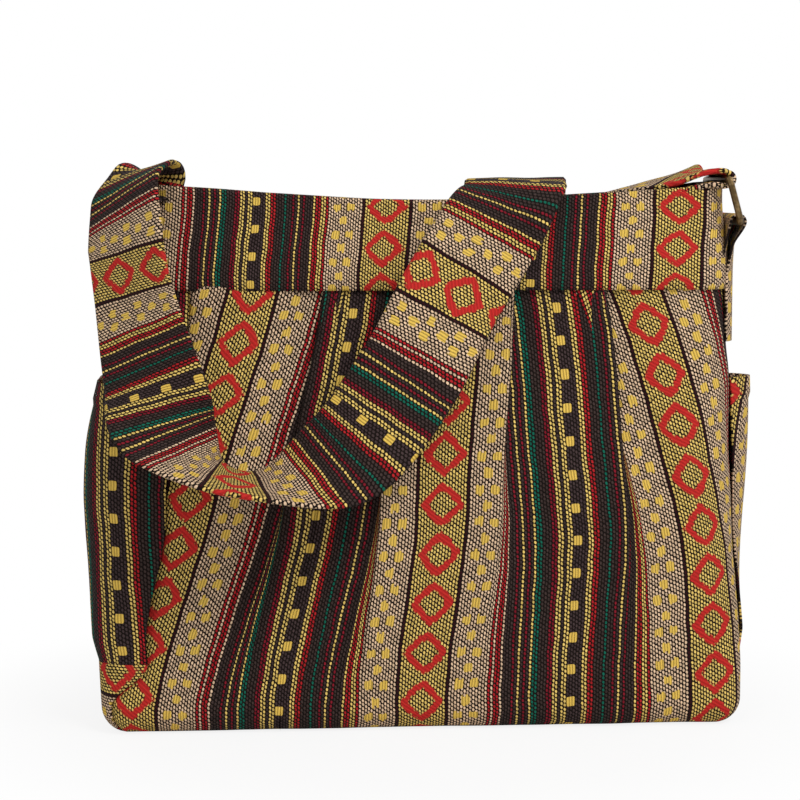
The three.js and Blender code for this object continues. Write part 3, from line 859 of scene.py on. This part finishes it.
def tab_point(u, v):
    """v runs up the inner layer, round the bar and down the outer layer."""
    outer = TAB_EYE + CLOTH
    rise = HINGE.z - TAB_LOWER_EDGE
    fold = math.pi * outer
    run = v * (2 * rise + fold)
    sewn = HINGE.x - outer
    if run < rise:
        x, z = sewn, TAB_LOWER_EDGE + run
    elif run < rise + fold:
        angle = math.pi - (run - rise) / outer
        x, z = HINGE.x + outer * math.cos(angle), HINGE.z + outer * math.sin(angle)
    else:
        down = run - rise - fold
        pinch = min(down / TAB_PINCH, 1)
        x = HINGE.x + outer - (2 * outer - TAB_LAYERS_APART) * pinch * pinch * (3 - 2 * pinch)
        z = HINGE.z - down
    y = (2 * u - 1) * TAB_HALF_WIDTH
    below = min(max((HINGE.z - z) / TAB_CURL_REACH, 0), 1)
    x -= below * max(abs(y) - TAB_FLAT, 0) ** 2 / TAB_CURL
    return Vector((x, y, z)), (y + TAB_PATTERN_SHIFT, run)


tab, tab_cut, tab_area = lay_cloth("ring_tab_cloth", 50, 120, tab_point, woven)
sew_in(tab, "ring_tab")

# Shoulder strap: a long doubled ribbon of the striped cotton with the stripes across it. It is sewn
# on at the left end of the bands, hangs in front, lies over the rim and loops over the ring's upper bar.
STRAP_WIDTH = 0.060
STRAP_THICKNESS = 0.0030
STRAP_DIAMOND_STEPS = ((88, 1), (150, 0), (209, -1), (440, -4))
STRAP_ROW_SHIFT = 0.0034
WIRE_RADIUS = 0.002
RING_LEAN = 0.27
RING_PITCH = 0.026
LOOP_CLEARANCE = 0.0003
LOOP_RADIUS = WIRE_RADIUS + LOOP_CLEARANCE + STRAP_THICKNESS / 2
LOOP_LEAD = 0.008
LOOP_CLOSING = 0.0005
TAIL_END = Vector((-0.030, 0.002, -0.0080))
STEPS_PER_STOP = 16
TANGENT_REACH = 0.02
GATHER_AT_STOP = 2.7
GATHER_STOPS = 1.2
GATHER_SHARE = 0.5
STRAP_CROWN = 0.3
STRAP_UNEVEN = (0.03, 0.02)
# The strap's middle points from its sewn end to the ring, each with the direction of its edge
STRAP_STOPS = (
    ((-0.1685, 0, 0.262), (0, 1, 0)),
    ((-0.16, 0, 0.29), (0, 1, 0)),
    ((-0.157, -0.001, 0.313), (0, 1, 0)),
    ((-0.161, -0.008, 0.322), (-0.3, 0.95, 0)),
    ((-0.169, -0.032, 0.313), (-0.55, 0.83, 0)),
    ((-0.168, -0.05, 0.286), (-0.72, 0.69, 0)),
    ((-0.162, -0.058, 0.247), (-0.78, 0.62, 0)),
    ((-0.153, -0.072, 0.209), (-0.9, 0.43, -0.02)),
    ((-0.143, -0.089, 0.178), (-0.88, -0.3, -0.05)),
    ((-0.121, -0.1, 0.158), (-0.4, -0.9, -0.03)),
    ((-0.086, -0.098, 0.15), (0.25, -0.93, -0.18)),
    ((-0.046, -0.086, 0.164), (0.63, -0.44, -0.64)),
    ((-0.009, -0.072, 0.208), (0.78, -0.1, -0.6)),
    ((0.016, -0.058, 0.252), (0.82, 0, -0.55)),
    ((0.041, -0.043, 0.291), (0.8, -0.2, -0.48)),
    ((0.056, -0.026, 0.3135), (0.82, -0.52, -0.17)),
    ((0.06, 0, 0.3175), (0.9, -0.43, 0)),
    ((0.064, 0.028, 0.3155), (0.98, -0.15, 0)),
    ((0.066, 0.046, 0.29), (1, 0, 0)),
    ((0.069, 0.059, 0.245), (1, 0, 0)),
    ((0.075, 0.07, 0.195), (1, 0, 0)),
    ((0.084, 0.082, 0.166), (1, 0, 0)),
    ((0.101, 0.096, 0.192), (1, 0, 0)),
    ((0.126, 0.08, 0.286), (1, 0.05, 0)),
    ((0.131, 0.062, 0.303), (0.98, 0.15, 0.08)),
    ((0.14, 0.036, 0.314), (0.85, 0.5, 0.15)),
    ((0.15, 0.015, 0.318), (0.5, 0.84, 0.14)),
    ((0.163, 0.004, 0.321), (0.05, 0.985, 0.1)),
)


def strap_route():
    """Middle points and edge directions of the strap, with its end looped over the ring's upper bar."""
    stops = [(Vector(at), Vector(edge)) for at, edge in STRAP_STOPS]
    bar = HINGE + RING_PITCH * Vector((-math.sin(RING_LEAN), 0, math.cos(RING_LEAN)))
    side = Vector((0, 1, 0))
    stops.append((bar + Vector((-LOOP_LEAD, 0, LOOP_RADIUS)), side))
    for quarter in range(5):
        angle = math.pi / 2 - quarter * math.pi / 4
        stops.append((bar + LOOP_RADIUS * Vector((math.cos(angle), 0, math.sin(angle))), side))
    stops.append((bar + Vector((-LOOP_LEAD, 0, LOOP_CLOSING - LOOP_RADIUS)), side))
    stops.append((bar + TAIL_END, side))
    return [at for at, edge in stops], [edge for at, edge in stops]


def through(points, place):
    """Smooth curve through the points, at a place counted in points from the first."""
    i = min(int(place), len(points) - 2)
    share = place - i
    p1, p2 = points[i], points[i + 1]
    p0 = points[i - 1] if i > 0 else 2 * p1 - p2
    p3 = points[i + 2] if i + 2 < len(points) else 2 * p2 - p1
    d1 = (p2 - p1).length ** 0.5 or 1
    d0 = (p1 - p0).length ** 0.5 or d1
    d2 = (p3 - p2).length ** 0.5 or d1
    t1 = ((p1 - p0) / d0 - (p2 - p0) / (d0 + d1) + (p2 - p1) / d1) * d1
    t2 = ((p2 - p1) / d1 - (p3 - p1) / (d1 + d2) + (p3 - p2) / d2) * d1
    a = 2 * p1 - 2 * p2 + t1 + t2
    b = -3 * p1 + 3 * p2 - 2 * t1 - t2
    return p1 + share * (t1 + share * (b + share * a))


STRAP_MIDDLES, STRAP_EDGES = strap_route()
STRAP_STEPS = STEPS_PER_STOP * (len(STRAP_MIDDLES) - 1)


def strap_frames():
    """Middle, edge direction, outward direction and length so far at each step along the strap."""
    frames = []
    length = 0
    for step in range(STRAP_STEPS + 1):
        place = step / STRAP_STEPS * (len(STRAP_MIDDLES) - 1)
        middle = through(STRAP_MIDDLES, place)
        before = through(STRAP_MIDDLES, max(place - TANGENT_REACH, 0))
        after = through(STRAP_MIDDLES, min(place + TANGENT_REACH, len(STRAP_MIDDLES) - 1))
        tangent = (after - before).normalized()
        edge = through(STRAP_EDGES, place)
        edge = (edge - edge.dot(tangent) * tangent).normalized()
        if frames:
            length += (middle - frames[-1][0]).length
        frames.append((middle, edge, edge.cross(tangent), length))
    return frames


strap_steps = strap_frames()


def strap_cloth(length):
    """Place across the stripes at a length along the strap, from the steps at which diamonds show."""
    repeat_width = REPEAT_COLUMNS * COLUMN
    marks = [(strap_steps[step][3], repeat * repeat_width) for step, repeat in STRAP_DIAMOND_STEPS]
    i = min(sum(length > at for at, across in marks[1:]), len(marks) - 2)
    (at0, across0), (at1, across1) = marks[i:i + 2]
    return across0 + (across1 - across0) * (length - at0) / (at1 - at0)


def strap_point(u, v):
    """v runs round the doubled ribbon: across one face, round the folded edge and back."""
    middle, edge, out, length = strap_steps[round(u * STRAP_STEPS)]
    half = STRAP_THICKNESS / 2
    flat = STRAP_WIDTH - 2 * half
    fold = math.pi * half
    run = v * 2 * (flat + fold)
    face = 1
    if run > flat + fold:
        run -= flat + fold
        face = -1
    if run < flat:
        across, off = flat / 2 - run, half
    else:
        angle = (run - flat) / half
        across, off = -flat / 2 - half * math.sin(angle), half * math.cos(angle)
    across, off = face * across, face * off
    if across > 0:
        from_gather = (u * STRAP_STEPS / STEPS_PER_STOP - GATHER_AT_STOP) / GATHER_STOPS
        across *= 1 - GATHER_SHARE * math.exp(-from_gather ** 2)
    crown = 1 - (2 * across / STRAP_WIDTH) ** 2
    uneven = noise.noise(Vector((length / STRAP_UNEVEN[0], across / STRAP_UNEVEN[1], 7)))
    off *= 1 + STRAP_CROWN * crown * (1 + uneven)
    point = middle + edge * across + out * off
    return point, (strap_cloth(length), STRAP_WIDTH / 2 - across + STRAP_ROW_SHIFT)


def make_strap():
    mesh = bmesh.new()
    bmesh.ops.create_grid(mesh, x_segments=STRAP_STEPS, y_segments=48, size=0.5)
    cloth_map = mesh.loops.layers.uv.new("cloth")
    on_cloth = {}
    for vertex in mesh.verts:
        vertex.co, on_cloth[vertex.index] = strap_point(vertex.co.x + 0.5, vertex.co.y + 0.5)
    for face in mesh.faces:
        face.smooth = True
        for corner in face.loops:
            corner[cloth_map].uv = on_cloth[corner.vert.index]
    bmesh.ops.remove_doubles(mesh, verts=mesh.verts, dist=1e-6)
    bmesh.ops.holes_fill(mesh, edges=[edge for edge in mesh.edges if edge.is_boundary], sides=0)
    bmesh.ops.recalc_face_normals(mesh, faces=mesh.faces)
    data = bpy.data.meshes.new("shoulder_strap_cloth")
    mesh.to_mesh(data)
    mesh.free()
    data.materials.append(woven)
    piece = bpy.data.objects.new("shoulder_strap_cloth", data)
    bpy.context.collection.objects.link(piece)
    return piece


strap = make_strap()
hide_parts("shoulder_strap")
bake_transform(strap)
